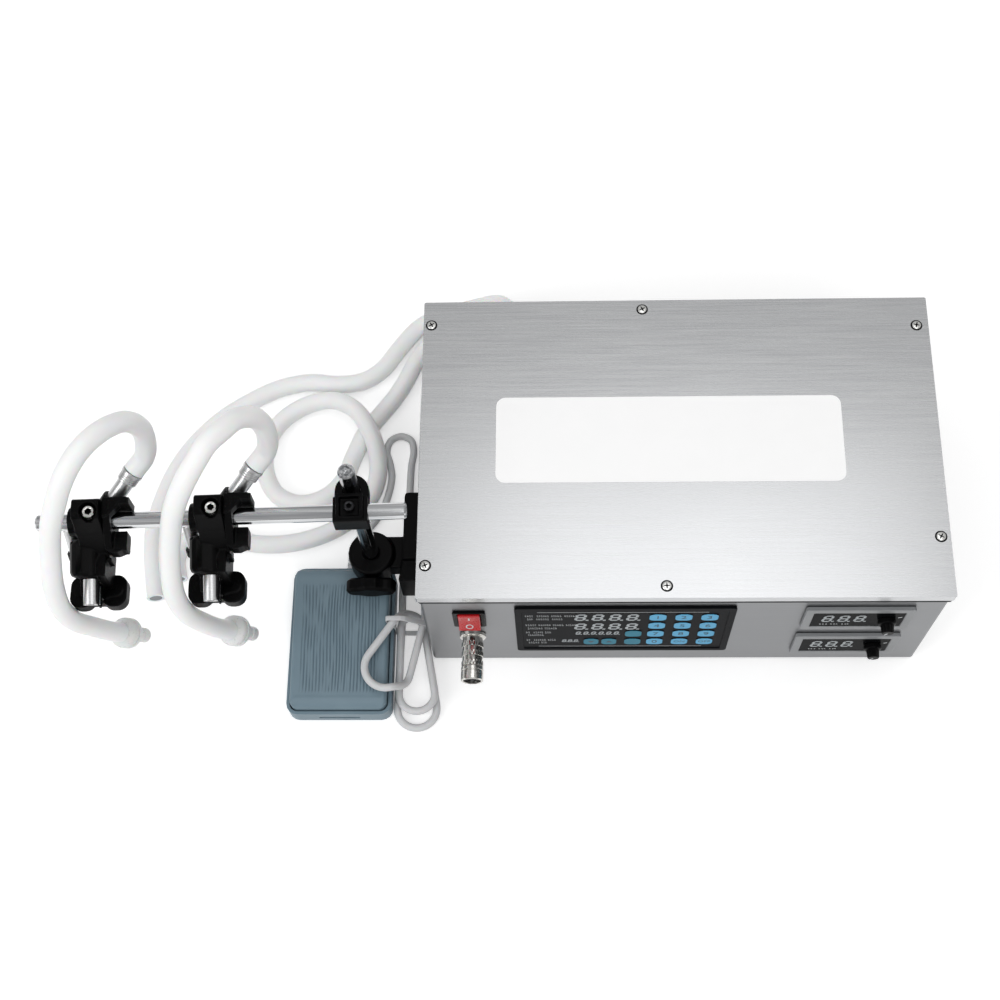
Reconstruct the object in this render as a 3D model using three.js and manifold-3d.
// Two-head liquid filling machine: a sheet steel cabinet with its panel, a rod stand on its
// left wall that carries two nozzle heads, silicone hoses and a foot switch.
// Millimetres, +X right, +Y back, +Z up. The origin is on the floor, under the middle of the
// machine's rigid pieces.
import * as THREE from 'three';
import { mergeVertices } from 'three/addons/utils/BufferGeometryUtils.js';
import Module from 'manifold-3d';

const wasm = await Module();
wasm.setup();

// Clearances and the run of cutting shapes past the faces that they cut
const fit = 0.3;
const play = 0.5;
const overrun = 3;

// Cabinet of folded sheet
const cabinet = { width: 380, depth: 240, height: 146, sheet: 1.5, corner: 3, flange: 14 };
const lid = { skirt: 8 };
const foot = { diameter: 20, tip: 16, height: 6, inset: 30 };

// Pieces on the front panel: x as a share of the tray's width from its middle, z from its underside
const rockerSwitch = {
  xShare: -0.4091, z: 99, width: 24, height: 30.5, flange: 1.8, corner: 2, depth: 20, body: 1.6,
  mouthWidth: 16.8, mouthHeight: 26, mouthDepth: 13,
};
const rocker = {
  width: 16, length: 23.2, rise: 3.4, valley: 1.6, pivot: 3, shoulder: 4, depth: 7, foot: 12, round: 1,
  restDegrees: -8,
};
const socket = {
  xShare: -0.4078, z: 61, thread: 7.4, flange: 10, flangeLength: 3, body: 7.6, ridge: 8.3, ring: 8.5,
  length: 37, ringLength: 11, inside: 12, bore: 6.6, boreDepth: 12, recess: 1.4,
  contact: 1.2, contactDepth: 5, contactCircle: 3.2,
};
const keypad = {
  xShare: -0.1076, z: 75, width: 160, height: 98, thickness: 2, corner: 3, rim: 5, recess: 0.7,
  keyWidth: 12, keyHeight: 13, keyRise: 0.5, keyCorner: 1.2, keyPitchX: 18.8, keyPitchZ: 18.7,
  keyX: 43, keyZ: 29, tealX: 7.6, arrowX: -23.7, arrowPitch: 13.5, arrowWidth: 11, cableHole: 30,
};
const meter = {
  xShare: 0.3401, upperZ: 100.5, lowerZ: 41, width: 78, height: 43, bezel: 3, corner: 2, wall: 2,
  depth: 22, windowWidth: 66, windowHeight: 30, windowDepth: 0.8,
};
const dial = {
  x: 21, length: 13, base: 6.6, top: 4.6, skirt: 4, shaft: 3, shaftLength: 8, pointer: 1.2, restDegrees: -150,
};

// Pieces on the back wall
const port = {
  xShares: [-0.4251, -0.3321, -0.2391, -0.1461], z: 42, nut: 11, nutLength: 6, thread: 7, inside: 14, stem: 4.6,
  barb: 6, barbLength: 8, barbs: 2, bore: 3.2,
};
const inlet = {
  xShare: 0.3188, z: 45, width: 48, height: 28, flange: 2.5, corner: 4, bodyWidth: 30, bodyHeight: 23,
  depth: 22, mouthWidth: 25, mouthHeight: 18, mouthDepth: 17, blade: 2, bladeHeight: 5,
  bladeLength: 13, bladePitch: 7, bladeDrop: 4,
};

// Pieces shut inside the cabinet
const pump = { motor: 44, motorLength: 70, head: 52, headLength: 34, height: 58, gap: 18 };
const supply = { width: 98, lengthShare: 0.677, height: 42, xShare: 0.3135, yShare: -0.017, standoff: 5 };
const pillar = { diameter: 7, inset: 9 };
const board = { width: 150, height: 88, thickness: 1.6, chip: 9, chipWidth: 60, chipHeight: 22, gap: 8 };

// Rod stand on the left wall, with the distance of its upright rod from that wall
const rod = { diameter: 12, chamfer: 0.8, recess: 1.6, recessInner: 2.4, recessOuter: 4.4 };
const post = { out: 46.3, y: -49, bottom: 36, top: 216 };
const bracket = {
  back: 0, length: 80, reach: 21, bottom: 22, top: 64, step: 56, stepDrop: 5, flare: 4, corner: 3,
  neckBack: 15, neckFront: 11, neckBottom: 39, neckDrop: 5, collar: 36, collarBottom: 36, collarTop: 60,
  bevel: 1.5,
};
const wing = { length: 39, height: 19, thickness: 11.5, hub: 8.5, tipRadius: 6.5, spindle: 8, bevel: 2 };
const postWingHeight = 48.5;
const arm = { offset: 17.5, height: 183, left: 223, right: 39 };
const swivelDegrees = 1.85;
const crossClamp = {
  width: 24.5, rise: 21, drop: 10, wall: 3.5, faceRise: 7, pocketWidth: 14, pocketFloor: 9,
  pocketWall: 3, round: 1, frontRound: 2, screwHead: 7.5, screwHeadHeight: 4, screwShank: 5,
};

// Nozzle heads: places are from the rod's axis, +Y back
const head = {
  pitch: 85.8, first: 181.5, left: 12, right: 7.5, top: 21, back: 10, backTop: 8, frontTop: 4,
  waistFront: 12, waist: 2, chinFront: 23.5, chinBack: 12, chinTop: 22.5, backBottom: 21,
  nose: 10.5, noseLeft: 20.5, wall: 3, round: 1, frontRound: 3, chinRound: 4, underRound: 2,
  screwHead: 9, screwHeight: 6, screwSink: 2, screwPocket: 12.5, screwShank: 6, hexagon: 5,
};
// Arm of a head: it runs forward beside the nozzle, with a shelf under the nozzle for the wing screw
const reach = {
  front: 53, back: 21.3, height: 11, left: -2, width: 11, round: 3,
  shelfLeft: -15, shelfFront: 45, shelfBack: 25.5, shelfBottom: 42.5, screwY: -36,
};
const cheek = {
  thickness: 5.5, back: 12, top: 16, bottom: 15, front: 21, earBack: 19, earFront: 15, earThick: 5.5,
  earDrop: 3, corner: 2.5, screw: 3.4,
};
const cup = { x: -11, diameter: 22, backY: -7, backZ: -17, frontY: -33, frontZ: -25, dome: 4 };
const tube = { diameter: 12 };
const nozzle = { x: -6.6, diameter: 12, bore: 9.5, rootY: -22, rootZ: -21.6, length: 31 };
const stub = {
  diameter: 10, bore: 7.5, boss: 14, footX: -20, footY: -14, footZ: -34, topX: -22.6, topY: 1.7, topZ: -14.5,
  bossShare: 0.24, holeShare: 0.12,
};
const feed = {
  endX: 28.4, endY: 31.8, endZ: 13, directionShare: [0.628, 0.576, 0.523], length: 37, boss: 17,
  bossLength: 12, seat: 5, ferrule: 14.5, ferruleLength: 9, lip: 15.6, lipLength: 2.5,
};

// Depth to which the open mouth of each small tube is cut
const mouthDepth = 3.8;

// Silicone hoses, and the valve fitting at the free end of each nozzle hose
const hose = { diameter: 15, sides: 10 };
const valve = { body: 21, neck: 14, tail: 12, bore: 4, length: 34 };

// Foot switch, from the left wall to the middle of its base on the floor
const pedal = {
  out: 71.8, y: -106.7, width: 82, depth: 120.6, wall: 2.5, floor: 3, rim: 17, corner: 9,
  topFront: 25, topBack: 32, top: 3, skirt: 11, gap: 0.8, backGap: 2, frontRound: 6, backRound: 8,
  ridges: 11, ridgeWidth: 3.6, ridgeRise: 0.9, ridgeInset: 9, pin: 5, pinBack: 13, pinHeight: 20,
  lug: 5, lugLength: 10, slotWidth: 32, slotHeight: 3, slotRise: 6,
};
const pedalSwitch = { width: 28, depth: 20, height: 10, plunger: 5, plungerHeight: 5, forward: 18 };
const relief = {
  neck: 7, body: 10, tip: 8, length: 13, flange: 13, flangeLength: 2, groove: 7.6, ribs: 3, x: 5, z: 10,
};

// Cord of the foot switch, its gland on the back wall, and the tied hank
const cord = { diameter: 6, sides: 7 };
const gland = {
  xShare: -0.4384, z: 18, nut: 15, nutLength: 4, dome: 11, length: 12, thread: 11, inside: 10, bore: 6.6,
};
const hank = {
  out: 16.8, y: -95, fold: 9, pitch: 7.15, low: 3.4, tieLift: 1.7, liftRun: 13, steps: 30, sides: 6,
  swingShare: 0.07, climbShare: 0.045,
  loops: [
    { length: 64, end: 15.5, fanDegrees: 4.5, lift: 0 },
    { length: 54, end: 14, fanDegrees: 5.5, lift: 0 },
    { length: 42, end: 17, fanDegrees: -24, lift: 15.5 },
  ],
};
const tie = { width: 4, thickness: 1, forward: 1, gap: 0.4, corner: 0.8, fade: 40 };

// Heights and faces that several pieces share
const cabinetBottom = foot.height;
const cabinetTop = cabinetBottom + cabinet.height;
const trayWidth = cabinet.width - 2 * (cabinet.sheet + fit);
const trayDepth = cabinet.depth - 2 * (cabinet.sheet + fit);
const trayTop = cabinetTop - cabinet.sheet - fit;
const frontFace = -trayDepth / 2;
const backFace = trayDepth / 2;
const leftFace = -trayWidth / 2;
const rodRadius = rod.diameter / 2;
const rodBore = rod.diameter + 2 * fit;

// Places across the cabinet, and places beside its left wall
for (const piece of [rockerSwitch, socket, keypad, meter, inlet, supply, gland]) {
  piece.x = piece.xShare * trayWidth;
}
port.x = port.xShares.map((share) => share * trayWidth);
supply.y = supply.yShare * trayDepth;
supply.length = supply.lengthShare * trayDepth;
for (const piece of [post, pedal, hank]) piece.x = leftFace - piece.out;

// A route with its x measured from the left wall
function besideWall(route) {
  return route.map(([x, y, z]) => [leftFace + x, y, z]);
}

// Turn a three.js geometry into a solid whose faces point out
function solid(geometry) {
  const bare = geometry.index ? geometry.toNonIndexed() : geometry.clone();
  bare.deleteAttribute('normal');
  bare.deleteAttribute('uv');
  const merged = mergeVertices(bare);
  const points = merged.attributes.position.array;
  const faces = [];
  const corner = (i) => new THREE.Vector3().fromArray(points, 3 * i);
  let volume = 0;
  for (let i = 0; i < merged.index.count; i += 3) {
    const [a, b, c] = [0, 1, 2].map((k) => merged.index.getX(i + k));
    if (a === b || b === c || c === a) continue;
    volume += corner(a).dot(corner(b).cross(corner(c)));
    faces.push(a, b, c);
  }
  if (volume < 0) faces.reverse();
  const mesh = { numProp: 3, vertProperties: points, triVerts: new Uint32Array(faces) };
  return new wasm.Manifold(new wasm.Mesh(mesh));
}

// Join any number of solids
function join(first, ...others) {
  return others.reduce((sum, other) => sum.add(other), first);
}

// Cut any number of solids from the first
function cut(first, ...others) {
  return others.reduce((rest, other) => rest.subtract(other), first);
}

// A block between two opposite corners
function block(from, to) {
  const size = to.map((value, i) => value - from[i]);
  const geometry = new THREE.BoxGeometry(...size);
  geometry.translate(...from.map((value, i) => value + size[i] / 2));
  return solid(geometry);
}

// Move a geometry drawn along +Y so that it starts at a point and runs along a direction
function aim(geometry, start, direction) {
  const up = new THREE.Vector3(0, 1, 0);
  geometry.applyQuaternion(new THREE.Quaternion().setFromUnitVectors(up, direction.clone().normalize()));
  geometry.translate(start.x, start.y, start.z);
  return geometry;
}

// A point from three numbers
function at(x, y, z) {
  return new THREE.Vector3(x, y, z);
}

// A round bar between two points
function bar(start, end, diameter, sides = 14) {
  const direction = end.clone().sub(start);
  const length = direction.length();
  const geometry = new THREE.CylinderGeometry(diameter / 2, diameter / 2, length, sides);
  geometry.translate(0, length / 2, 0);
  return solid(aim(geometry, start, direction));
}

// A turned piece: pairs of radius and distance along its axis, from the start to the end
function turned(profile, start, direction, sides = 16) {
  const points = profile.map(([radius, along]) => new THREE.Vector2(radius, along));
  return solid(aim(new THREE.LatheGeometry(points, sides), start, direction));
}

// A shape pushed along an axis: X takes a drawing of (y, z), Y of (x, z) and Z of (x, y)
function pushed(shape, axis, from, to, curveSegments = 2) {
  const geometry = new THREE.ExtrudeGeometry(shape, { depth: to - from, bevelEnabled: false, curveSegments });
  const turn = new THREE.Matrix4();
  if (axis === 'x') turn.set(0, 0, 1, from, 1, 0, 0, 0, 0, 1, 0, 0, 0, 0, 0, 1);
  if (axis === 'y') turn.set(1, 0, 0, 0, 0, 0, -1, to, 0, 1, 0, 0, 0, 0, 0, 1);
  if (axis === 'z') turn.makeTranslation(0, 0, from);
  geometry.applyMatrix4(turn);
  return solid(geometry);
}

// A rectangle with round corners, drawn round its middle
function roundedRectangle(width, height, radius, x = 0, y = 0) {
  const [left, right, low, high] = [x - width / 2, x + width / 2, y - height / 2, y + height / 2];
  const shape = new THREE.Shape();
  shape.moveTo(left + radius, low);
  shape.lineTo(right - radius, low);
  shape.absarc(right - radius, low + radius, radius, -Math.PI / 2, 0);
  shape.lineTo(right, high - radius);
  shape.absarc(right - radius, high - radius, radius, 0, Math.PI / 2);
  shape.lineTo(left + radius, high);
  shape.absarc(left + radius, high - radius, radius, Math.PI / 2, Math.PI);
  shape.lineTo(left, low + radius);
  shape.absarc(left + radius, low + radius, radius, Math.PI, 1.5 * Math.PI);
  return shape;
}

// A closed outline through corners, with each corner rounded by its own radius
function outline(corners) {
  const shape = new THREE.Shape();
  corners.forEach(([x, y, radius = 0], i) => {
    const here = new THREE.Vector2(x, y);
    const [before, after] = [corners.at(i - 1), corners[(i + 1) % corners.length]].map(
      ([px, py]) => new THREE.Vector2(px, py).sub(here).normalize().multiplyScalar(radius).add(here),
    );
    if (i === 0) shape.moveTo(before.x, before.y);
    else shape.lineTo(before.x, before.y);
    if (radius > 0) shape.quadraticCurveTo(here.x, here.y, after.x, after.y);
  });
  shape.closePath();
  return shape;
}

const machine = new THREE.Group();

// Add a solid to a group as a named mesh with a material of its own
function add(group, name, body, color, roughness, metalness) {
  const source = body.getMesh();
  const geometry = new THREE.BufferGeometry();
  geometry.setAttribute('position', new THREE.BufferAttribute(source.vertProperties, 3));
  geometry.setIndex(new THREE.BufferAttribute(source.triVerts, 1));
  geometry.computeVertexNormals();
  const material = new THREE.MeshStandardMaterial({ color, roughness, metalness });
  const mesh = new THREE.Mesh(geometry, material);
  mesh.name = name;
  group.add(mesh);
  return mesh;
}

const steel = [0xb9babc, 0.34, 1];
const polished = [0xd6d7d9, 0.12, 1];
const nylon = [0x17171a, 0.42, 0];
const gloss = [0x101012, 0.2, 0];
const silicone = [0xececec, 0.45, 0];

// Folded tray: floor, four walls and an inward flange that the lid screws down to
function addTray() {
  const { sheet, corner, flange } = cabinet;
  const shell = pushed(roundedRectangle(trayWidth, trayDepth, corner), 'z', cabinetBottom, trayTop);
  const room = block(
    [leftFace + sheet, frontFace + sheet, cabinetBottom + sheet],
    [-leftFace - sheet, backFace - sheet, trayTop - sheet],
  );
  const mouth = block(
    [leftFace + flange, frontFace + flange, trayTop - sheet - overrun],
    [-leftFace - flange, backFace - flange, trayTop + overrun],
  );
  const through = (shape) => pushed(shape, 'y', frontFace - overrun, frontFace + sheet + overrun);
  const frontHoles = [
    through(roundedRectangle(
      rockerSwitch.width - 2 * rockerSwitch.body + 2 * fit,
      rockerSwitch.height - 2 * rockerSwitch.body + 2 * fit,
      rockerSwitch.corner, rockerSwitch.x, cabinetBottom + rockerSwitch.z,
    )),
    through(roundedRectangle(
      keypad.cableHole, keypad.cableHole / 2, keypad.corner, keypad.x, cabinetBottom + keypad.z,
    )),
    bar(
      at(socket.x, frontFace - overrun, cabinetBottom + socket.z),
      at(socket.x, frontFace + sheet + overrun, cabinetBottom + socket.z),
      2 * (socket.thread + fit),
    ),
  ];
  for (const height of [meter.upperZ, meter.lowerZ]) {
    frontHoles.push(through(roundedRectangle(
      meter.width - 2 * meter.wall + 2 * fit, meter.height - 2 * meter.wall + 2 * fit,
      meter.corner, meter.x, cabinetBottom + height,
    )));
  }
  const backHoles = port.x.map((x) => bar(
    at(x, backFace - sheet - overrun, cabinetBottom + port.z),
    at(x, backFace + overrun, cabinetBottom + port.z),
    2 * (port.thread + fit),
  ));
  backHoles.push(bar(
    at(gland.x, backFace - sheet - overrun, cabinetBottom + gland.z),
    at(gland.x, backFace + overrun, cabinetBottom + gland.z), gland.thread + 2 * fit,
  ));
  backHoles.push(pushed(
    roundedRectangle(inlet.bodyWidth + 2 * fit, inlet.bodyHeight + 2 * fit, inlet.corner / 2,
      inlet.x, cabinetBottom + inlet.z),
    'y', backFace - sheet - overrun, backFace + overrun,
  ));
  add(machine, 'cabinet_tray', cut(shell, room, mouth, ...frontHoles, ...backHoles), ...steel);
}

// Lid: a flat plate with its edges folded down over the tray
function addLid() {
  const { width, depth, sheet, corner } = cabinet;
  const plate = pushed(
    roundedRectangle(width, depth, corner + sheet + fit), 'z', cabinetTop - lid.skirt, cabinetTop,
  );
  const room = pushed(
    roundedRectangle(width - 2 * sheet, depth - 2 * sheet, corner + fit), 'z',
    cabinetTop - lid.skirt - overrun, cabinetTop - sheet,
  );
  add(machine, 'cabinet_lid', cut(plate, room), ...steel);
}

// Rubber feet, one near each corner
function addFeet() {
  const places = [[-1, -1], [1, -1], [1, 1], [-1, 1]];
  places.forEach(([sideX, sideY], i) => {
    const x = sideX * (cabinet.width / 2 - foot.inset);
    const y = sideY * (cabinet.depth / 2 - foot.inset);
    const height = foot.height - fit;
    const profile = [
      [0, 0], [foot.tip / 2, 0], [foot.diameter / 2, height / 2], [foot.diameter / 2, height], [0, height],
    ];
    add(machine, `foot_${i + 1}`, turned(profile, at(x, y, 0), at(0, 0, 1), 20), 0x222224, 0.8, 0);
  });
}

// Rocker switch: a housing through the panel, and the rocker on its cross pin
function addSwitch() {
  const s = rockerSwitch;
  const z = cabinetBottom + s.z;
  const seat = frontFace - fit;
  const face = seat - s.flange;
  const flange = pushed(roundedRectangle(s.width, s.height, s.corner, s.x, z), 'y', face, seat);
  const body = pushed(
    roundedRectangle(s.width - 2 * s.body, s.height - 2 * s.body, s.corner - fit, s.x, z),
    'y', seat, seat + s.depth,
  );
  const mouth = block(
    [s.x - s.mouthWidth / 2, face - overrun, z - s.mouthHeight / 2],
    [s.x + s.mouthWidth / 2, face + s.mouthDepth, z + s.mouthHeight / 2],
  );
  add(machine, 'switch_housing', cut(join(flange, body), mouth), ...gloss);

  const r = rocker;
  const half = r.length / 2;
  const profile = outline([
    [-r.pivot - r.rise, -half, r.round], [-r.pivot - r.valley, 0], [-r.pivot - r.rise, half, r.round],
    [r.shoulder, half - fit], [r.depth, r.foot / 2], [r.depth, -r.foot / 2], [r.shoulder, fit - half],
  ]);
  const rockerBody = pushed(profile, 'x', -r.width / 2, r.width / 2);
  const mesh = add(machine, 'switch_rocker', rockerBody, 0xc4181f, 0.3, 0);
  mesh.position.set(s.x, face + r.pivot, z);
  mesh.rotation.x = THREE.MathUtils.degToRad(rocker.restDegrees);
}

// Round panel socket with a ridged sleeve and its insert with four contacts
function addSocket() {
  const s = socket;
  const start = at(s.x, frontFace - fit, cabinetBottom + s.z);
  const out = at(0, -1, 0);
  const ringStart = s.length - s.ringLength;
  const sleeve = [
    [0, -s.inside], [s.thread, -s.inside], [s.thread, 0], [s.flange, 0], [s.flange, s.flangeLength],
    [s.body, s.flangeLength + fit],
  ];
  const ridges = 3;
  const ridgeStep = (ringStart - s.flangeLength) / (2 * ridges + 1);
  for (let i = 0; i < ridges; i += 1) {
    const low = s.flangeLength + ridgeStep * (2 * i + 1);
    const high = low + ridgeStep;
    sleeve.push([s.body, low], [s.ridge, low + fit], [s.ridge, high - fit], [s.body, high]);
  }
  sleeve.push(
    [s.body, ringStart], [s.ring, ringStart + fit], [s.ring, s.length - fit], [s.ring - fit, s.length],
    [s.bore, s.length], [s.bore, s.length - s.boreDepth], [0, s.length - s.boreDepth],
  );
  add(machine, 'socket_sleeve', turned(sleeve, start, out), 0xc9cacc, 0.18, 1);

  const front = s.length - s.recess;
  const radius = s.bore - fit;
  const back = s.length - s.boreDepth + fit;
  const disc = turned([[0, back], [radius, back], [radius, front], [0, front]], start, out);
  const contacts = [0, 1, 2, 3].map((i) => {
    const angle = Math.PI / 4 + (i * Math.PI) / 2;
    const x = s.x + s.contactCircle * Math.cos(angle);
    const z = start.z + s.contactCircle * Math.sin(angle);
    const [mouth, bottom] = [start.y - front - overrun, start.y - front + s.contactDepth];
    return bar(at(x, mouth, z), at(x, bottom, z), 2 * s.contact, 8);
  });
  add(machine, 'socket_insert', cut(disc, ...contacts), ...gloss);
}

// Membrane keypad: a framed plate with a sunk field and raised keys
function addKeypad() {
  const k = keypad;
  const z = cabinetBottom + k.z;
  const seat = frontFace - fit;
  const face = seat - k.thickness;
  const floor = face + k.recess;
  const plate = pushed(roundedRectangle(k.width, k.height, k.corner, k.x, z), 'y', face, seat);
  const field = pushed(
    roundedRectangle(k.width - 2 * k.rim, k.height - 2 * k.rim, k.corner / 2, k.x, z), 'y',
    face - overrun, floor,
  );
  const key = (x, height, width) => {
    const [left, right] = [k.x + x - width / 2, k.x + x + width / 2];
    const [low, high] = [z + height - k.keyHeight / 2, z + height + k.keyHeight / 2];
    const corners = [[left, low], [right, low], [right, high], [left, high]];
    const rounded = corners.map((point) => [...point, k.keyCorner]);
    return pushed(outline(rounded), 'y', floor - k.keyRise, floor + fit, 1);
  };
  const keys = [];
  for (let row = 0; row < 4; row += 1) {
    for (let column = 0; column < 3; column += 1) {
      keys.push(key(k.keyX + (column - 1) * k.keyPitchX, k.keyZ - row * k.keyPitchZ, k.keyWidth));
    }
  }
  for (const row of [2, 3]) keys.push(key(k.tealX, k.keyZ - row * k.keyPitchZ, k.keyWidth));
  for (const side of [0, 1]) {
    keys.push(key(k.arrowX + side * k.arrowPitch, k.keyZ - 3 * k.keyPitchZ, k.arrowWidth));
  }
  add(machine, 'keypad', join(cut(plate, field), ...keys), 0x1c1c1e, 0.4, 0);
}

// Speed meters: a framed case through the panel, and a dial that turns on its shaft
function addMeters() {
  const m = meter;
  const d = dial;
  const seat = frontFace - fit;
  const face = seat - m.bezel;
  [['upper', m.upperZ], ['lower', m.lowerZ]].forEach(([name, height]) => {
    const z = cabinetBottom + height;
    const frame = pushed(roundedRectangle(m.width, m.height, m.corner, m.x, z), 'y', face, seat);
    const body = pushed(
      roundedRectangle(m.width - 2 * m.wall, m.height - 2 * m.wall, m.corner - fit, m.x, z), 'y',
      seat, seat + m.depth,
    );
    const window = pushed(
      roundedRectangle(m.windowWidth, m.windowHeight, m.corner / 2, m.x, z),
      'y', face - overrun, face + m.windowDepth,
    );
    const shaftEnd = face + m.windowDepth + d.shaftLength;
    const hole = bar(
      at(m.x + d.x, face - overrun, z), at(m.x + d.x, shaftEnd + play, z), 2 * (d.shaft + fit), 16,
    );
    add(machine, `meter_${name}`, cut(join(frame, body), window, hole), 0x77797b, 0.4, 0.3);

    const seatY = face + m.windowDepth - play;
    const profile = [
      [0, -d.shaftLength], [d.shaft, -d.shaftLength], [d.shaft, 0], [d.base, 0], [d.base, d.skirt],
      [d.top + fit, d.skirt + fit], [d.top, d.length - fit], [d.top - fit, d.length], [0, d.length],
    ];
    const knob = turned(profile, at(0, 0, 0), at(0, -1, 0));
    const pointer = block([-d.pointer / 2, -d.length, 0], [d.pointer / 2, -d.skirt / 2, d.base]);
    const mesh = add(machine, `dial_${name}`, join(knob, pointer), ...gloss);
    mesh.position.set(m.x + d.x, seatY, z);
    mesh.rotation.y = THREE.MathUtils.degToRad(d.restDegrees);
  });
}

// Hose ports on the back wall, each a nut, a threaded stem through the wall and a barbed tail
function addPorts() {
  const p = port;
  const names = ['inlet_port_1', 'inlet_port_2', 'outlet_port_1', 'outlet_port_2'];
  p.x.forEach((x, i) => {
    const start = at(x, backFace + fit, cabinetBottom + p.z);
    const out = at(0, 1, 0);
    const profile = [[0, -p.inside], [p.thread, -p.inside], [p.thread, 0], [p.nut, 0], [p.nut, p.nutLength]];
    profile.push([p.stem, p.nutLength]);
    for (let ridge = 0; ridge < p.barbs; ridge += 1) {
      const low = p.nutLength + ridge * p.barbLength;
      const lip = low + p.barbLength / 4;
      profile.push([p.stem, lip], [p.barb, lip + fit], [p.stem, low + p.barbLength]);
    }
    const end = p.nutLength + p.barbs * p.barbLength;
    profile.push([p.bore, end], [p.bore, end - mouthDepth], [0, end - mouthDepth]);
    add(machine, names[i], turned(profile, start, out, 14), 0xc9cacc, 0.25, 1);
  });
}

// Mains inlet with three blades in its mouth
function addInlet() {
  const n = inlet;
  const z = cabinetBottom + n.z;
  const seat = backFace + fit;
  const face = seat + n.flange;
  const flange = pushed(roundedRectangle(n.width, n.height, n.corner, n.x, z), 'y', seat, face);
  const body = pushed(
    roundedRectangle(n.bodyWidth, n.bodyHeight, n.corner / 2, n.x, z), 'y', seat - n.depth, seat,
  );
  const mouth = block(
    [n.x - n.mouthWidth / 2, face - n.mouthDepth, z - n.mouthHeight / 2],
    [n.x + n.mouthWidth / 2, face + overrun, z + n.mouthHeight / 2],
  );
  const blades = [-1, 0, 1].map((side) => block(
    [n.x + side * n.bladePitch - n.blade / 2, face - n.mouthDepth - fit, z - n.bladeDrop - n.bladeHeight / 2],
    [
      n.x + side * n.bladePitch + n.blade / 2, face - n.mouthDepth + n.bladeLength,
      z - n.bladeDrop + n.bladeHeight / 2,
    ],
  ));
  add(machine, 'mains_inlet', join(cut(join(flange, body), mouth), ...blades), ...gloss);
}

// Two gear pumps, a power supply and a control board inside the cabinet
function addInside() {
  const floor = cabinetBottom + cabinet.sheet + fit;
  const p = pump;
  [0, 1].forEach((i) => {
    const x = (port.x[2 * i] + port.x[2 * i + 1]) / 2;
    const front = backFace - cabinet.sheet - port.inside - p.gap - p.headLength;
    const z = floor + p.height / 2 + fit;
    const body = pushed(
      roundedRectangle(p.head, p.height, cabinet.corner, x, z), 'y', front, front + p.headLength,
    );
    const motor = bar(at(x, front + fit, z), at(x, front - p.motorLength, z), p.motor, 18);
    add(machine, `pump_${i + 1}`, join(body, motor), 0x8f9296, 0.4, 0.8);
  });

  const s = supply;
  const corners = [[-1, -1], [1, -1], [1, 1], [-1, 1]];
  const box = block(
    [s.x - s.width / 2, s.y - s.length / 2, floor + s.standoff],
    [s.x + s.width / 2, s.y + s.length / 2, floor + s.standoff + s.height],
  );
  const legs = corners.map(([sideX, sideY]) => {
    const x = s.x + sideX * (s.width / 2 - pillar.inset);
    const y = s.y + sideY * (s.length / 2 - pillar.inset);
    return bar(at(x, y, floor), at(x, y, floor + s.standoff + fit), pillar.diameter, 8);
  });
  add(machine, 'power_supply', join(box, ...legs), 0xb0b2b4, 0.4, 0.9);

  const b = board;
  const z = cabinetBottom + keypad.z;
  const near = frontFace + cabinet.sheet + b.gap;
  const card = block(
    [keypad.x - b.width / 2, near, z - b.height / 2],
    [keypad.x + b.width / 2, near + b.thickness, z + b.height / 2],
  );
  const chip = block(
    [keypad.x - b.chipWidth / 2, near + b.thickness - fit, z - b.chipHeight / 2],
    [keypad.x + b.chipWidth / 2, near + b.thickness + b.chip, z + b.chipHeight / 2],
  );
  const pillars = corners.map(([sideX, sideZ]) => {
    const x = keypad.x + sideX * (b.width / 2 - pillar.inset);
    const height = z + sideZ * (b.height / 2 - pillar.inset);
    return bar(at(x, frontFace + cabinet.sheet + fit, height), at(x, near + fit, height), pillar.diameter, 8);
  });
  add(machine, 'control_board', join(card, chip, ...pillars), 0x1f5a3a, 0.6, 0);
}

// Bracket on the left wall: a stepped foot, a neck and a bored collar for the upright rod
function addBracket() {
  const b = bracket;
  const wallSide = leftFace - fit;
  const outer = wallSide - b.reach;
  const front = b.back - b.length;
  const plate = pushed(outline([
    [wallSide, b.back, b.corner], [wallSide, front, b.corner], [outer - b.flare, front + b.corner, b.corner],
    [outer, front + b.length - b.step + b.corner, b.corner], [outer, b.back, b.corner],
  ]), 'z', b.bottom, b.top);
  const step = block(
    [outer - b.flare - overrun, front - overrun, b.top - b.stepDrop],
    [wallSide + overrun, b.back - b.step, b.top + overrun],
  );
  const neck = block(
    [post.x, post.y - b.neckFront, b.neckBottom],
    [outer + overrun, post.y + b.neckBack, b.collarTop - b.neckDrop],
  );
  const radius = b.collar / 2;
  const collar = turned([
    [0, b.collarBottom], [radius - b.bevel, b.collarBottom], [radius, b.collarBottom + b.bevel],
    [radius, b.collarTop - b.bevel], [radius - b.bevel, b.collarTop], [0, b.collarTop],
  ], at(post.x, post.y, 0), at(0, 0, 1), 24);
  const bore = bar(
    at(post.x, post.y, b.collarBottom - overrun), at(post.x, post.y, b.collarTop + overrun), rodBore,
  );
  const screwHole = bar(
    at(post.x, post.y, postWingHeight), at(post.x, post.y - radius - overrun, postWingHeight),
    wing.spindle + 2 * fit, 16,
  );
  add(machine, 'side_bracket', cut(join(cut(plate, step), neck, collar), bore, screwHole), ...nylon);
}

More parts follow.
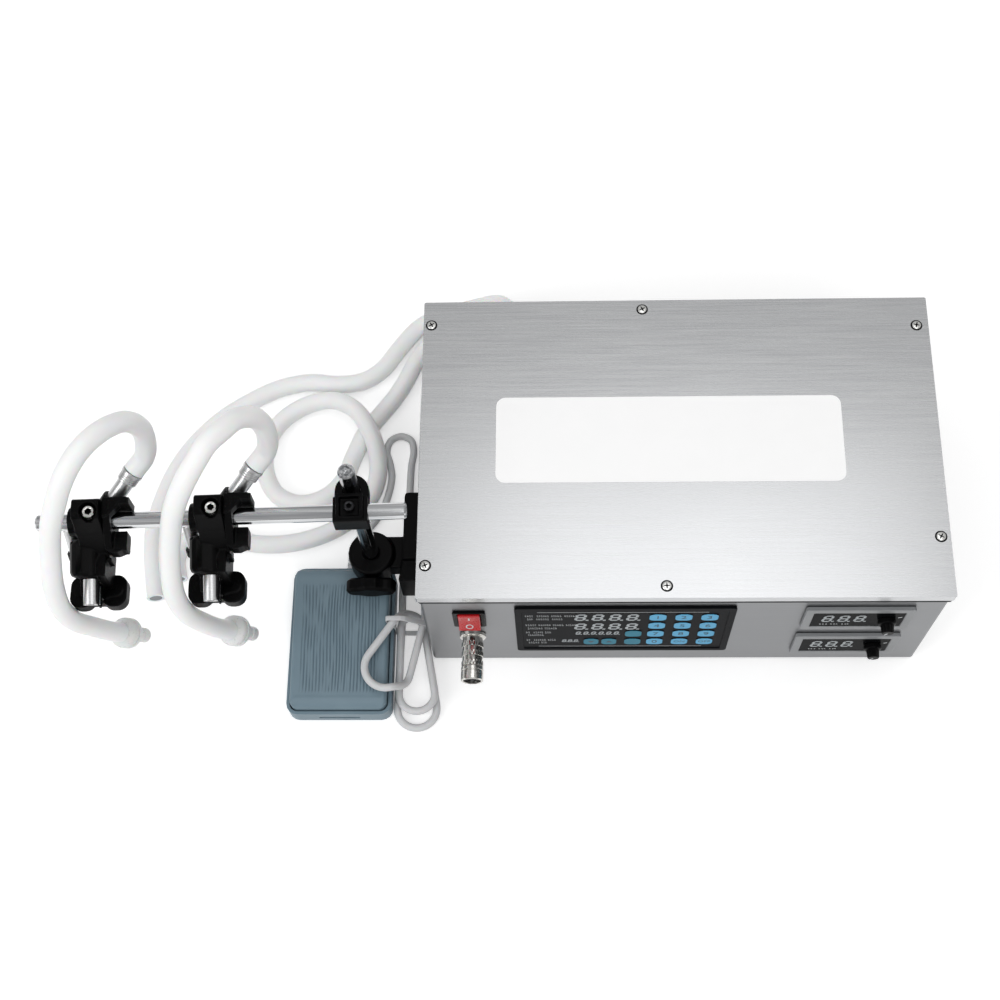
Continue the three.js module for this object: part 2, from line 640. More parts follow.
// Wing screw drawn along -Y: the spindle starts at the tip, the wing stands in front of it
function wingScrew(spindleLength) {
  const w = wing;
  const reach = w.length / 2 - w.tipRadius;
  const tip = w.tipRadius;
  const shape = new THREE.Shape();
  shape.absarc(reach, 0, tip, -Math.PI / 2, Math.PI / 2);
  shape.quadraticCurveTo(w.hub, tip, w.hub / 2, w.height / 2);
  shape.lineTo(-w.hub / 2, w.height / 2);
  shape.quadraticCurveTo(-w.hub, tip, -reach, tip);
  shape.absarc(-reach, 0, tip, Math.PI / 2, 1.5 * Math.PI);
  shape.quadraticCurveTo(-w.hub, -tip, -w.hub / 2, -w.height / 2);
  shape.lineTo(w.hub / 2, -w.height / 2);
  shape.quadraticCurveTo(w.hub, -tip, reach, -tip);
  const geometry = new THREE.ExtrudeGeometry(shape, {
    depth: w.thickness - 2 * w.bevel, bevelEnabled: true, bevelThickness: w.bevel, bevelSize: w.bevel,
    bevelOffset: -w.bevel, bevelSegments: 1, curveSegments: 3,
  });
  geometry.rotateX(Math.PI / 2);
  geometry.translate(0, -spindleLength - w.bevel, 0);
  return join(solid(geometry), bar(at(0, 0, 0), at(0, -spindleLength - w.bevel - fit, 0), w.spindle, 16));
}

// Rod end: a chamfer and a turned ring in the face, given as radius and depth from the face
function rodEnd(sign, end) {
  const r = rod;
  const along = (depth) => end - sign * depth;
  const profile = [
    [rodRadius, along(r.chamfer)], [rodRadius - r.chamfer, along(0)], [r.recessOuter, along(0)],
    [r.recessOuter, along(r.recess)], [r.recessInner, along(r.recess)], [r.recessInner, along(r.chamfer)],
    [0, along(r.chamfer)],
  ];
  return sign > 0 ? profile : profile.reverse();
}

// A polished rod with turned ends
function polishedRod(start, direction, length) {
  return turned([...rodEnd(-1, 0), ...rodEnd(1, length)], start, direction);
}

// Upright rod, with the wing screw that holds it in the collar
function addPost() {
  const spindle = bracket.collar / 2 + play - rodRadius - fit;
  const screw = add(machine, 'post_wing_screw', wingScrew(spindle), ...nylon);
  screw.position.set(post.x, post.y - rodRadius - fit, postWingHeight);
  const upright = polishedRod(at(post.x, post.y, post.bottom), at(0, 0, 1), post.top - post.bottom);
  add(machine, 'upright_rod', upright, ...polished);
}

const armGroup = new THREE.Group();
armGroup.position.set(post.x, post.y, 0);
armGroup.rotation.z = THREE.MathUtils.degToRad(swivelDegrees);
machine.add(armGroup);

// Cross clamp: bored for the upright rod behind and for the level rod in front of it
function addCrossClamp() {
  const c = crossClamp;
  const [top, bottom] = [arm.height + c.rise, arm.height - c.drop];
  const half = c.width / 2;
  const front = -arm.offset - rodRadius - fit - c.wall;
  const floor = arm.height + c.pocketFloor;
  const side = outline([
    [0, bottom], [0, top], [-half, top, c.round], [front, arm.height + c.faceRise, c.frontRound],
    [front, bottom, c.frontRound],
  ]);
  const ring = bar(at(0, 0, bottom), at(0, 0, top), c.width, 24);
  const pocket = block(
    [-c.pocketWidth / 2, front + c.pocketWall, floor],
    [c.pocketWidth / 2, -half + c.pocketWall / 2, top + overrun],
  );
  const postBore = bar(at(0, 0, bottom - overrun), at(0, 0, top + overrun), rodBore);
  const armBore = bar(
    at(-half - overrun, -arm.offset, arm.height), at(half + overrun, -arm.offset, arm.height), rodBore,
  );
  const screwHole = bar(
    at(0, -arm.offset, arm.height), at(0, -arm.offset, floor + overrun), c.screwShank + 2 * fit, 14,
  );
  const body = join(pushed(side, 'x', -half, half, 2), ring);
  add(armGroup, 'cross_clamp', cut(body, pocket, postBore, armBore, screwHole), ...nylon);

  const seat = floor + fit;
  const shank = bar(
    at(0, -arm.offset, arm.height + rodRadius + fit), at(0, -arm.offset, seat + fit), c.screwShank, 14,
  );
  const cap = bar(at(0, -arm.offset, seat), at(0, -arm.offset, seat + c.screwHeadHeight), c.screwHead, 16);
  const key = bar(
    at(0, -arm.offset, seat + c.screwHeadHeight / 2), at(0, -arm.offset, seat + c.screwHeadHeight + overrun),
    c.screwHead / 2, 6,
  );
  add(armGroup, 'cross_clamp_screw', cut(join(cap, shank), key), ...steel);

  const rodBody = polishedRod(at(-arm.left, -arm.offset, arm.height), at(1, 0, 0), arm.left + arm.right);
  add(armGroup, 'level_rod', rodBody, ...polished);
}

const feedDirection = new THREE.Vector3(...feed.directionShare).normalize();
const feedEnd = at(feed.endX, feed.endY, feed.endZ);

// A point on the feed tube's axis, back from its end
function feedPoint(back) {
  return feedEnd.clone().addScaledVector(feedDirection, -back);
}

// Height of the nozzle's axis and of its underside at a distance from the rod
function nozzleHeight(y) {
  return nozzle.rootZ + ((cup.frontZ - cup.backZ) / (cup.frontY - cup.backY)) * (y - nozzle.rootY);
}

function nozzleUnderside(y) {
  const slope = (cup.frontZ - cup.backZ) / (cup.frontY - cup.backY);
  return nozzleHeight(y) - nozzle.diameter / 2 - (wing.spindle * slope) / 2 - fit;
}

// Moulded body of a nozzle head, with its cup, nose, forward arm, shelf and tube sockets
function headBody() {
  const h = head;
  const upper = pushed(outline([
    [h.back, h.top - h.wall, h.round], [h.backTop, h.top, h.round], [-h.frontTop, h.top, h.frontRound],
    [-h.waistFront, -h.waist, h.frontRound], [-h.chinFront, -h.chinTop, h.chinRound],
    [-h.chinBack, -h.backBottom - h.wall, h.underRound], [h.backTop, -h.backBottom, h.chinRound],
  ]), 'x', -h.left, h.right, 1);
  const nose = turned([
    [0, 0], [h.nose - h.wall, 0], [h.nose, h.wall], [h.nose, h.noseLeft - h.left + fit],
    [0, h.noseLeft - h.left + fit],
  ], at(-h.noseLeft, 0, 0), at(1, 0, 0), 16);

  const a = reach;
  const c = cup;
  const forward = pushed(outline([
    [-a.back, nozzleHeight(-a.back) + a.height / 2], [-a.front, nozzleHeight(-a.front) + a.height / 2, a.round],
    [-a.front, nozzleHeight(-a.front) - a.height / 2, a.round], [-a.back, nozzleHeight(-a.back) - a.height / 2],
  ]), 'x', a.left, a.left + a.width, 2);
  const shelf = pushed(outline([
    [-a.shelfBack, nozzleHeight(-a.shelfBack)], [-a.shelfFront, nozzleHeight(-a.shelfFront), a.round],
    [-a.shelfFront, -a.shelfBottom, a.round], [-a.shelfBack, -a.shelfBottom, a.round],
  ]), 'x', a.shelfLeft, a.left + a.width, 2);

  const cupStart = at(c.x, c.backY, c.backZ);
  const cupAxis = at(0, c.frontY - c.backY, c.frontZ - c.backZ);
  const cupLength = cupAxis.length();
  const cupRadius = c.diameter / 2;
  const cupBody = turned([
    [0, 0], [cupRadius - c.dome / 2, 0], [cupRadius, c.dome / 2], [cupRadius, cupLength - c.dome],
    [cupRadius - c.dome / 4, cupLength - c.dome / 3], [cupRadius - c.dome, cupLength], [0, cupLength],
  ], cupStart, cupAxis);

  const s = stub;
  const stubFoot = at(s.footX, s.footY, s.footZ);
  const stubTop = at(s.topX, s.topY, s.topZ);
  const stubMiddle = stubFoot.clone().lerp(stubTop, s.bossShare);
  const stubBoss = bar(stubFoot, stubMiddle, s.boss, 14);
  const stubHole = bar(stubFoot.clone().lerp(stubTop, s.holeShare), stubTop, s.diameter + 2 * fit);

  const boss = bar(feedPoint(feed.length + fit), feedPoint(feed.length - feed.bossLength), feed.boss, 16);
  const feedHole = bar(feedPoint(feed.length - feed.seat), feedPoint(0), tube.diameter + 2 * fit, 16);

  const nozzleAxis = cupAxis.clone().normalize();
  const nozzleRoot = at(nozzle.x, nozzle.rootY, nozzle.rootZ);
  const nozzleHole = bar(
    nozzleRoot, nozzleRoot.clone().addScaledVector(nozzleAxis, nozzle.length), nozzle.diameter + 2 * fit,
  );

  const rodHole = bar(at(-h.noseLeft - overrun, 0, 0), at(h.right + cheek.earBack, 0, 0), rodBore);
  const pocket = bar(at(0, 0, h.top - h.screwHeight - h.screwSink), at(0, 0, h.top + overrun), h.screwPocket);
  const shankHole = bar(at(0, 0, 0), at(0, 0, h.top), h.screwShank + 2 * fit, 14);
  const wingHole = bar(
    at(nozzle.x, a.screwY, -a.shelfBottom - overrun), at(nozzle.x, a.screwY, nozzleHeight(a.screwY)),
    wing.spindle + 2 * fit, 16,
  );
  const body = join(upper, forward, shelf, nose, cupBody, stubBoss, boss);
  return cut(body, stubHole, feedHole, nozzleHole, rodHole, pocket, shankHole, wingHole);
}

// Clamp cheek on the right of a head: a bored plate with an ear behind the rod and one in front
function headCheek() {
  const c = cheek;
  const start = head.right + fit;
  const plate = pushed(outline([
    [c.back, c.top, c.corner], [c.back - c.front / 2, c.top, c.corner], [-c.front, -c.earDrop, c.corner],
    [-c.front, -c.bottom, c.corner], [c.back - c.corner, -c.bottom, c.corner], [c.back, -c.earDrop, c.corner],
  ]), 'x', start, start + c.thickness, 2);
  const earBack = pushed(outline([
    [c.back, c.top, c.corner], [c.back - c.earThick, c.top, c.corner], [c.back - c.earThick, -c.earDrop],
    [c.back, -c.earDrop],
  ]), 'x', start, start + c.earBack, 2);
  const earFront = pushed(outline([
    [-rodRadius - c.corner, -c.earDrop, c.corner], [-c.front, -c.earDrop, c.corner],
    [-c.front, -c.bottom, c.corner],
    [-rodRadius - c.corner, -c.bottom, c.corner],
  ]), 'x', start, start + c.earFront, 2);
  const rodHole = bar(at(start - overrun, 0, 0), at(start + c.earBack + overrun, 0, 0), rodBore);
  const tubeRoom = bar(feedPoint(feed.length + play), feedPoint(0), feed.boss + 2 * fit, 16);
  return cut(join(plate, earBack, earFront), rodHole, tubeRoom);
}

// Nozzle heads on the level rod
function addHead(number) {
  const group = new THREE.Group();
  group.position.set(-head.first + (number - 1) * head.pitch, -arm.offset, arm.height);
  armGroup.add(group);
  const name = (part) => `head_${number}_${part}`;
  const h = head;
  add(group, name('body'), headBody(), ...nylon);
  add(group, name('cheek'), headCheek(), ...nylon);

  const seat = h.top - h.screwHeight - h.screwSink + fit;
  const cap = bar(at(0, 0, seat), at(0, 0, seat + h.screwHeight), h.screwHead, 16);
  const shank = bar(at(0, 0, rodRadius + fit), at(0, 0, seat + fit), h.screwShank, 14);
  const key = bar(at(0, 0, seat + h.screwHeight / 2), at(0, 0, seat + h.screwHeight + overrun), h.hexagon, 6);
  add(group, name('clamp_screw'), cut(join(cap, shank), key), ...steel);

  const nozzleAxis = at(0, cup.frontY - cup.backY, cup.frontZ - cup.backZ).normalize();
  const root = at(nozzle.x, nozzle.rootY, nozzle.rootZ).addScaledVector(nozzleAxis, fit);
  const pipe = (outer, bore, length) => [
    [0, 0], [outer / 2, 0], [outer / 2, length], [bore / 2, length], [bore / 2, length - mouthDepth],
    [0, length - mouthDepth],
  ];
  const nozzleTube = turned(pipe(nozzle.diameter, nozzle.bore, nozzle.length - fit), root, nozzleAxis, 20);
  add(group, name('nozzle'), nozzleTube, ...polished);

  const stubTop = at(stub.topX, stub.topY, stub.topZ);
  const stubFoot = at(stub.footX, stub.footY, stub.footZ).lerp(stubTop, stub.holeShare);
  const stubAxis = stubTop.clone().sub(stubFoot).normalize();
  stubFoot.addScaledVector(stubAxis, fit);
  const stubLength = stubTop.distanceTo(stubFoot);
  const stubTube = turned(pipe(stub.diameter, stub.bore, stubLength), stubFoot, stubAxis, 18);
  add(group, name('stub'), stubTube, ...polished);

  const feedStart = feedPoint(feed.length - feed.seat - fit);
  const feedLength = feed.length - feed.seat - fit;
  const body = feedLength - feed.ferruleLength;
  const feedTube = turned([
    [0, 0], [tube.diameter / 2, 0], [tube.diameter / 2, body], [feed.ferrule / 2 - fit, body],
    [feed.ferrule / 2, body + fit], [feed.ferrule / 2, feedLength - feed.lipLength],
    [feed.lip / 2, feedLength - feed.lipLength + fit], [feed.lip / 2, feedLength], [0, feedLength],
  ], feedStart, feedDirection);
  add(group, name('feed_tube'), feedTube, ...polished);

  const under = nozzleUnderside(reach.screwY) - fit;
  const screw = add(group, name('wing_screw'), wingScrew(under + reach.shelfBottom + play), ...nylon);
  screw.position.set(nozzle.x, reach.screwY, under);
  screw.rotation.x = Math.PI / 2;
}

// Routes of the soft pieces, points chosen by hand: x from the left wall, y from the cabinet's middle
const nozzleHoseRoutes = [
  [
    [-186.8, -24, 231], [-191.8, -28, 253], [-199.8, -39, 267], [-207.8, -50, 273], [-214.8, -60, 274],
    [-221.8, -70, 270], [-227.8, -79, 263], [-233.8, -87, 251], [-240.8, -94, 234], [-246.8, -99, 214],
    [-251.8, -108, 192], [-255.3, -117, 170], [-256.3, -124, 147], [-252.8, -126, 123],
    [-245.8, -123, 101], [-238.8, -119, 78], [-234.8, -116, 66],
  ],
  [
    [-100.8, -25, 230], [-103.8, -26, 252], [-112.8, -35, 270], [-120.8, -47, 277], [-128.8, -57, 279],
    [-135.8, -67, 275], [-142.8, -76, 268], [-149.8, -83, 257], [-156.8, -89, 241], [-162.8, -95, 220],
    [-167.8, -103, 198], [-171.3, -111, 175], [-172.8, -118, 152], [-169.8, -122, 128],
    [-162.8, -121, 104], [-155.8, -118, 81], [-150.8, -115, 68],
  ],
];

// A tube along a route
function along(route, diameter, sides, steps) {
  const curve = new THREE.CatmullRomCurve3(route.map((point) => at(...point)), false, 'centripetal');
  const section = new THREE.Shape();
  for (let i = 0; i < sides; i += 1) {
    const angle = (2 * Math.PI * i) / sides;
    const place = [(diameter / 2) * Math.cos(angle), (diameter / 2) * Math.sin(angle)];
    if (i === 0) section.moveTo(...place);
    else section.lineTo(...place);
  }
  return solid(new THREE.ExtrudeGeometry(section, { steps, bevelEnabled: false, extrudePath: curve }));
}

// Nozzle hoses, each with the plastic valve fitting on its free end
function addNozzleHoses() {
  armGroup.updateMatrix();
  nozzleHoseRoutes.forEach((points, i) => {
    const fromTube = (distance) => feedPoint(-distance)
      .add(at(-head.first + i * head.pitch, -arm.offset, arm.height)).applyMatrix4(armGroup.matrix).toArray();
    const route = [fromTube(fit), fromTube(hose.diameter), ...besideWall(points)];
    add(machine, `nozzle_hose_${i + 1}`, along(route, hose.diameter, hose.sides, 32), ...silicone);
    const end = at(...route.at(-1));
    const before = at(...route.at(-2));
    const direction = end.clone().sub(before).normalize();
    const start = end.clone().addScaledVector(direction, fit);
    const v = valve;
    const profile = [
      [0, 0], [v.neck / 2, 0], [v.neck / 2, v.length / 8], [v.body / 2, v.length / 4],
      [v.body / 2, v.length / 2],
      [v.tail / 2, (2 * v.length) / 3], [v.tail / 2 - fit, v.length], [v.bore / 2, v.length],
      [v.bore / 2, v.length - mouthDepth], [0, v.length - mouthDepth],
    ];
    add(machine, `valve_fitting_${i + 1}`, turned(profile, start, direction, 20), 0xf2f2f0, 0.35, 0);
  });
}

// Floor hoses from the two inlet ports, each with its free end open
const floorHoseRoutes = [
  [
    [25.2, 168, 42], [15.2, 175, 30], [0.2, 171, 15], [-12.8, 158, 8], [-22.8, 142, 8], [-29.8, 126, 8],
    [-38.8, 110, 8], [-49.8, 95, 8], [-61.8, 78, 8], [-70.8, 56, 8], [-78.8, 34, 8], [-93.8, 19, 8],
    [-113.8, 14, 8], [-132.8, 22, 8], [-143.8, 42, 8], [-144.8, 66, 8], [-133.8, 89, 8],
    [-113.8, 103, 10], [-89.8, 104, 18], [-68.8, 91, 25], [-54.8, 70, 18], [-49.8, 48, 9],
    [-52.8, 26, 8], [-64.8, 6, 8], [-83.8, -9, 8], [-109.8, -19, 8], [-136.8, -22, 8], [-162.8, -19, 8],
    [-187.8, -14, 8], [-204.8, -18, 8], [-211.8, -34, 8], [-208.8, -52, 8],
  ],
  [
    [60.2, 172, 45], [50.2, 186, 34], [35.2, 192, 20], [17.2, 193, 10], [-2.8, 189, 8], [-20.8, 177, 8],
    [-35.8, 158, 8], [-49.8, 138, 8], [-65.8, 127, 8], [-87.8, 124, 8], [-111.8, 126, 8],
    [-135.8, 121, 8], [-159.8, 109, 8], [-183.8, 92, 8], [-204.8, 69, 8], [-219.8, 43, 8],
    [-227.8, 19, 8], [-232.8, -6, 8], [-231.8, -30, 8], [-228.8, -50, 8], [-225.8, -68, 8],
  ],
];

const floorHoseSteps = [52, 38];

// Floor hoses start square to their ports
function addFloorHoses() {
  const reach = port.nutLength + port.barbs * port.barbLength + 2 * fit;
  floorHoseRoutes.forEach((points, i) => {
    const fromPort = (distance) => [port.x[i], backFace + reach + distance, cabinetBottom + port.z];
    const route = [fromPort(0), fromPort(hose.diameter), ...besideWall(points)];
    const tubing = along(route, hose.diameter, hose.sides, floorHoseSteps[i]);
    add(machine, `floor_hose_${i + 1}`, tubing, ...silicone);
  });
}

const pedalGroup = new THREE.Group();
pedalGroup.position.set(pedal.x, pedal.y, 0);
machine.add(pedalGroup);

const pedalBlue = [0x5f7887, 0.55, 0];

// Foot switch: a tray base with lugs, a hinged plate with ribs, its pin and the switch under it
function addPedal() {
  const p = pedal;
  const [halfWidth, halfDepth] = [p.width / 2, p.depth / 2];
  const pinY = halfDepth - p.pinBack;
  const plateHalf = halfWidth - p.wall - p.gap;
  const [plateFront, plateBack] = [-halfDepth + p.wall + p.gap, halfDepth - p.wall - p.backGap];

  const outer = pushed(roundedRectangle(p.width, p.depth, p.corner), 'z', 0, p.rim);
  const room = pushed(
    roundedRectangle(p.width - 2 * p.wall, p.depth - 2 * p.wall, p.corner - p.wall),
    'z', p.floor, p.rim + overrun,
  );
  const slot = block(
    [-p.slotWidth / 2, -halfDepth - overrun, p.slotRise],
    [p.slotWidth / 2, -halfDepth + p.wall + overrun, p.slotRise + p.slotHeight],
  );
  const lugSide = plateHalf - p.wall - play;
  const lugShape = outline([
    [pinY - p.lugLength / 2, p.floor - fit], [pinY + p.lugLength / 2, p.floor - fit],
    [pinY + p.lugLength / 2, p.pinHeight + p.pin, p.pin - fit],
    [pinY - p.lugLength / 2, p.pinHeight + p.pin, p.pin - fit],
  ]);
  const lugs = [
    pushed(lugShape, 'x', lugSide - p.lug, lugSide), pushed(lugShape, 'x', -lugSide, p.lug - lugSide),
  ];
  const pinHole = bar(at(-halfWidth, pinY, p.pinHeight), at(halfWidth, pinY, p.pinHeight), p.pin + 2 * fit, 14);
  const cordHole = bar(
    at(relief.x, halfDepth - p.wall - overrun, relief.z), at(relief.x, halfDepth + overrun, relief.z),
    relief.neck + 2 * fit, 14,
  );
  add(pedalGroup, 'pedal_base', cut(join(cut(outer, room), ...lugs), pinHole, slot, cordHole), ...pedalBlue);

  const side = (inset, low) => outline([
    [plateFront + inset, low], [plateBack - inset, low], [plateBack - inset, p.topBack - inset, p.backRound],
    [plateFront + inset, p.topFront - inset, p.frontRound],
  ]);
  const plan = pushed(
    roundedRectangle(2 * plateHalf, plateBack - plateFront, p.corner - p.wall, 0, (plateFront + plateBack) / 2),
    'z', 0, p.topBack + overrun,
  );
  const form = pushed(side(0, p.skirt), 'x', -plateHalf, plateHalf).intersect(plan);
  const hollow = pushed(side(p.wall, p.skirt - overrun), 'x', p.wall - plateHalf, plateHalf - p.wall);
  const slope = (p.topBack - p.topFront) / (plateBack - plateFront);
  const top = (y) => p.topFront + slope * (y - plateFront) - p.ridgeWidth / 2 + p.ridgeRise;
  const [ridgeFront, ridgeBack] = [plateFront + p.ridgeInset, plateBack - p.ridgeInset - p.backRound];
  const ridges = [];
  for (let i = 0; i < p.ridges; i += 1) {
    const x = (i / (p.ridges - 1) - 0.5) * 2 * (plateHalf - p.ridgeInset);
    ridges.push(bar(at(x, ridgeFront, top(ridgeFront)), at(x, ridgeBack, top(ridgeBack)), p.ridgeWidth, 8));
  }
  const plateHole = bar(
    at(-halfWidth, pinY, p.pinHeight), at(halfWidth, pinY, p.pinHeight), p.pin + 2 * play, 14,
  );
  const notchHalf = relief.flange / 2 + 2 * play;
  const notch = block(
    [relief.x - notchHalf, plateBack - p.wall - overrun, p.skirt - overrun],
    [relief.x + notchHalf, plateBack + overrun, relief.z + notchHalf],
  );
  add(pedalGroup, 'pedal_plate', cut(join(form, ...ridges), hollow, plateHole, notch), ...pedalBlue);

  const pin = bar(at(fit - plateHalf, pinY, p.pinHeight), at(plateHalf - fit, pinY, p.pinHeight), p.pin, 14);
  add(pedalGroup, 'pedal_pin', pin, ...steel);

  const s = pedalSwitch;
  const low = p.floor + fit;
  const housing = block(
    [-s.width / 2, -s.forward - s.depth / 2, low], [s.width / 2, s.depth / 2 - s.forward, low + s.height],
  );
  const plunger = bar(
    at(0, -s.forward, low + s.height - fit), at(0, -s.forward, low + s.height + s.plungerHeight), s.plunger, 12,
  );
  add(pedalGroup, 'pedal_microswitch', join(housing, plunger), ...gloss);

  const r = relief;
  const profile = [
    [cord.diameter / 2 + fit, -p.wall - r.flangeLength - fit], [r.flange / 2, -p.wall - r.flangeLength - fit],
    [r.flange / 2, -p.wall - fit], [r.neck / 2, -p.wall - fit], [r.neck / 2, fit], [r.body / 2, fit],
  ];
  for (let i = 1; i <= r.ribs; i += 1) {
    const end = fit + (r.length * i) / r.ribs;
    const start = end - r.length / r.ribs / 2;
    const radius = (r.body + ((r.tip - r.body) * i) / r.ribs) / 2;
    profile.push([radius, start]);
    if (i < r.ribs) profile.push([r.groove / 2, start], [r.groove / 2, end], [radius, end]);
    else profile.push([r.tip / 2, end]);
  }
  const hole = cord.diameter / 2 + fit;
  profile.push([hole, fit + r.length], [hole, -p.wall - r.flangeLength - fit]);
  const reliefBody = turned(profile, at(r.x, halfDepth, r.z), at(0, 1, 0), 10);
  add(pedalGroup, 'pedal_relief', reliefBody, 0xa9a9a8, 0.6, 0);
}

// Gland on the back wall for the foot switch's cord
function addGland() {
  const g = gland;
  const profile = [
    [g.bore / 2, -g.inside], [g.thread / 2, -g.inside], [g.thread / 2, 0], [g.nut / 2, 0],
    [g.nut / 2, g.nutLength],
    [g.dome / 2, g.nutLength + g.nutLength / 2], [g.dome / 2 - fit, g.length], [g.bore / 2, g.length],
    [g.bore / 2, -g.inside],
  ];
  const start = at(g.x, backFace + fit, cabinetBottom + g.z);
  add(machine, 'cord_gland', turned(profile, start, at(0, 1, 0), 12), ...nylon);
}

// Outline of one loop of the hank from the top of its fold: a small circle and a larger one with their tangents
function loopOutline(length, end) {
  const { fold } = hank;
  const lean = Math.asin((end - fold) / length);
  const path = new THREE.Path();
  path.absarc(0, 0, fold, Math.PI / 2, Math.PI - lean, false);
  path.absarc(0, -length, end, Math.PI - lean, 2 * Math.PI + lean, false);
  path.absarc(0, 0, fold, lean, Math.PI / 2, false);
  return path;
}

const outlines = hank.loops.map(({ length, end }) => loopOutline(length, end));

// A point of the hank: each loop swings to its own side, lies over the last and may climb on the foot switch
function hankPoint(turn) {
  const h = hank;
  const count = h.loops.length;
  const index = Math.min(Math.floor(turn), count - 1);
  const place = outlines[index].getPointAt(turn - index);
  const nearest = Math.round(turn);
  const [before, after] = [Math.max(nearest - 1, 0), Math.min(nearest, count - 1)];
  const swung = THREE.MathUtils.smoothstep(turn - nearest, -h.swingShare, h.swingShare);
  const climbed = THREE.MathUtils.smoothstep(turn - nearest, -h.climbShare, h.climbShare);
  const mixed = (name) => THREE.MathUtils.lerp(h.loops[before][name], h.loops[after][name], swung);
  place.rotateAround(new THREE.Vector2(0, 0), THREE.MathUtils.degToRad(mixed('fanDegrees')));
  const x = h.x + place.x;
  const climb = THREE.MathUtils.smoothstep(h.x - x, 0, h.liftRun);
  const level = THREE.MathUtils.lerp(before, after, climbed);
  const settled = THREE.MathUtils.smoothstep(-place.y, tie.forward + tie.width / 2, tie.fade);
  return at(x, h.y + place.y, h.low + h.tieLift * (1 - settled) + h.pitch * level + mixed('lift') * climb);
}

// Route of the hank, with a straight diameter of cord at each end
function hankRoute() {
  const h = hank;
  const last = h.loops.length;
  const steps = last * h.steps;
  const ends = [0, last - 1].map((index) => {
    const { length, end } = h.loops[index];
    return (h.fold * (Math.PI / 2 - Math.asin((end - h.fold) / length))) / outlines[index].getLength();
  });
  const points = [];
  for (let i = 0; i <= steps; i += 1) {
    points.push(hankPoint(THREE.MathUtils.lerp(ends[0], last - ends[1], i / steps)));
  }
  const outward = (point, next) => {
    const direction = point.clone().sub(next).setZ(0).normalize();
    return point.clone().addScaledVector(direction, cord.diameter);
  };
  points.unshift(outward(points[0], points[1]));
  points.push(outward(points[points.length - 1], points[points.length - 2]));
  return points;
}

// Least distance between stretches of a route that are more than a few diameters apart along it
function leastGap(points, diameter) {
  let least = Infinity;
  const lengths = [0];
  for (let i = 1; i < points.length; i += 1) lengths.push(lengths[i - 1] + points[i].distanceTo(points[i - 1]));
  points.forEach((point, i) => {
    for (let j = i + 1; j < points.length; j += 1) {
      if (lengths[j] - lengths[i] < 3 * diameter) continue;
      least = Math.min(least, point.distanceTo(points[j]) - diameter);
    }
  });
  return least;
}

const cordColor = [0xb0afb0, 0.6, 0];

// The hank as one unbroken tube, with its tie round the loops just below their folds
function addHank(points) {
  const h = hank;
  const fine = new THREE.CatmullRomCurve3(points, false, 'centripetal').getPoints(points.length * 4);
  console.log(`least gap of the hank to itself: ${leastGap(fine, cord.diameter).toFixed(2)} mm`);
  const route = points.map((point) => point.toArray());
  add(machine, 'cord_hank', along(route, cord.diameter, h.sides, h.loops.length * h.steps), ...cordColor);
}

function addTie(points) {
  const y = hank.y - tie.forward;
  const fine = new THREE.CatmullRomCurve3(points, false, 'centripetal').getPoints(points.length * 8);
  const near = fine.filter((point) => Math.abs(point.y - y) < tie.width);
  const middle = near.reduce((sum, point) => sum + point.x, 0) / near.length;
  const reach = cord.diameter / 2 + tie.gap;
  const left = near.filter((point) => point.x < middle);
  const right = near.filter((point) => point.x >= middle);
  const most = (list, pick) => Math.max(...list.map(pick));
  const [leftEdge, rightEdge] = [-most(left, ({ x }) => -x) - reach, most(right, ({ x }) => x) + reach];
  const [leftTop, rightTop] = [most(left, ({ z }) => z) + reach, most(right, ({ z }) => z) + reach];
  const low = hank.low + hank.tieLift - reach;
  const isLow = ({ z }) => z < hank.low + 2 * hank.pitch;
  const lowLeft = -most(left.filter(isLow), ({ x }) => -x) - reach;
  const highRight = most(left.filter((point) => !isLow(point)), ({ x }) => x) + reach;
  const ring = (out) => outline([
    [lowLeft - out, low - out], [rightEdge + out, low - out], [rightEdge + out, rightTop + out],
    [highRight + out, leftTop + out], [leftEdge - out, leftTop + out],
    [leftEdge - out, leftTop - 2 * reach + 3 * tie.thickness], [lowLeft - out, pedal.rim + 2 * play],
  ].map((corner) => [...corner, tie.corner + out]));
  const band = pushed(ring(tie.thickness), 'y', y - tie.width / 2, y + tie.width / 2, 1);
  const room = pushed(ring(0), 'y', y - tie.width / 2 - overrun, y + tie.width / 2 + overrun, 1);
  add(machine, 'cord_tie', cut(band, room), 0xa6a5a4, 0.6, 0);
}

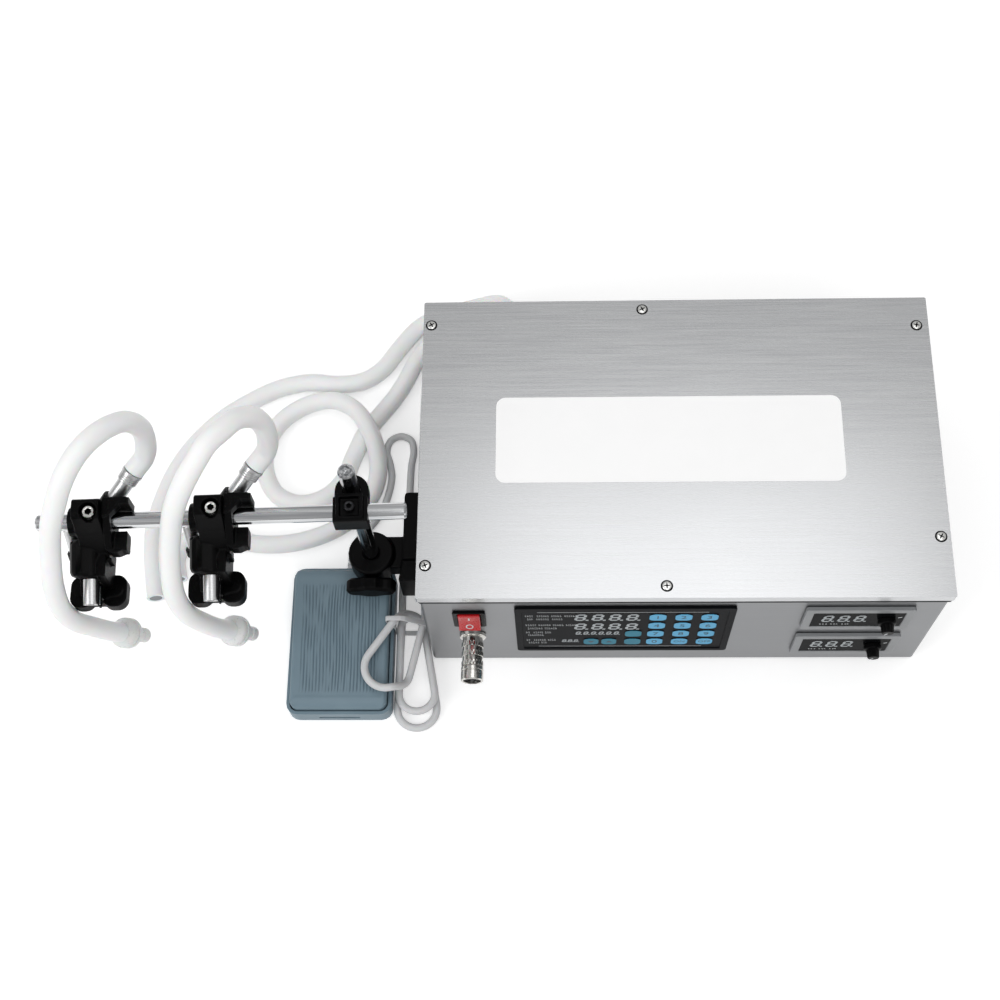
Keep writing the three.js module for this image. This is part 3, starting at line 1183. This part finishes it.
// Cord of the foot switch on the surface: from its relief to the hank, and from the hank to the gland
const cordRoutes = {
  fromPedal: [
    [-63.8, -16, 4], [-54.8, -5, 3.3], [-45.8, 9, 3.3], [-40.8, 25, 3.3], [-38.8, 40, 3.3],
    [-40.8, 52, 3.3], [-43.8, 63, 3.3], [-40.8, 73, 3.3], [-32.3, 77, 3.3], [-23.8, 73, 3.3],
    [-21.3, 63, 3.3], [-22.8, 50, 3.3], [-23.3, 30, 3.3], [-23.8, 8, 3.3], [-24.8, -16, 3.3],
    [-25.8, -40, 3.3], [-26.3, -62, 3.3],
  ],
  toGland: [
    [-7.3, -76, 14.5], [-9.8, -60, 9], [-11.8, -42, 4.5], [-13, -20, 3.3], [-13.6, 10, 3.3],
    [-13.8, 40, 3.3], [-13.8, 70, 3.3], [-13.8, 96, 3.3], [-13.3, 118, 3.5], [-10.8, 136, 6],
    [-3.8, 149, 11], [7.2, 153, 17], [17.7, 149, 22],
  ],
};

function addCords(points) {
  const back = (end, next, distance) => {
    const direction = end.clone().sub(next).normalize();
    return end.clone().addScaledVector(direction, distance).toArray();
  };
  const last = points.length - 1;
  const reliefEnd = pedal.y + pedal.depth / 2 + relief.length + 2 * fit;
  const relieved = (distance) => [pedal.x + relief.x, reliefEnd + distance, relief.z];
  const fromPedal = [
    relieved(0), relieved(cord.diameter), ...besideWall(cordRoutes.fromPedal),
    back(points[0], points[1], fit + cord.diameter), back(points[0], points[1], fit),
  ];
  const glandEnd = backFace + gland.length + 2 * fit;
  const atGland = (distance) => [gland.x, glandEnd + distance, cabinetBottom + gland.z];
  const toGland = [
    back(points[last], points[last - 1], fit), back(points[last], points[last - 1], fit + cord.diameter),
    ...besideWall(cordRoutes.toGland), atGland(cord.diameter), atGland(0),
  ];
  add(machine, 'pedal_cord_1', along(fromPedal, cord.diameter, cord.sides, 56), ...cordColor);
  add(machine, 'pedal_cord_2', along(toGland, cord.diameter, cord.sides, 50), ...cordColor);
}

addTray();
addLid();
addFeet();
addSwitch();
addSocket();
addKeypad();
addMeters();
addPorts();
addInlet();
addInside();
addBracket();
addPost();
addCrossClamp();
addHead(1);
addHead(2);
addNozzleHoses();
addFloorHoses();
addPedal();
addGland();
const looped = hankRoute();
addHank(looped);
addTie(looped);
addCords(looped);

// Put the origin on the floor, under the middle of all pieces but the hoses and the cord
const loose = /^(floor_hose|nozzle_hose|valve_fitting|pedal_cord|cord_hank|cord_tie)/;
machine.updateMatrixWorld(true);
const rigid = new THREE.Box3();
machine.traverse((piece) => {
  if (piece.isMesh && !loose.test(piece.name)) rigid.expandByObject(piece, true);
});
const middle = rigid.getCenter(new THREE.Vector3());
machine.position.set(-middle.x, -middle.y, -rigid.min.z);

export default machine;
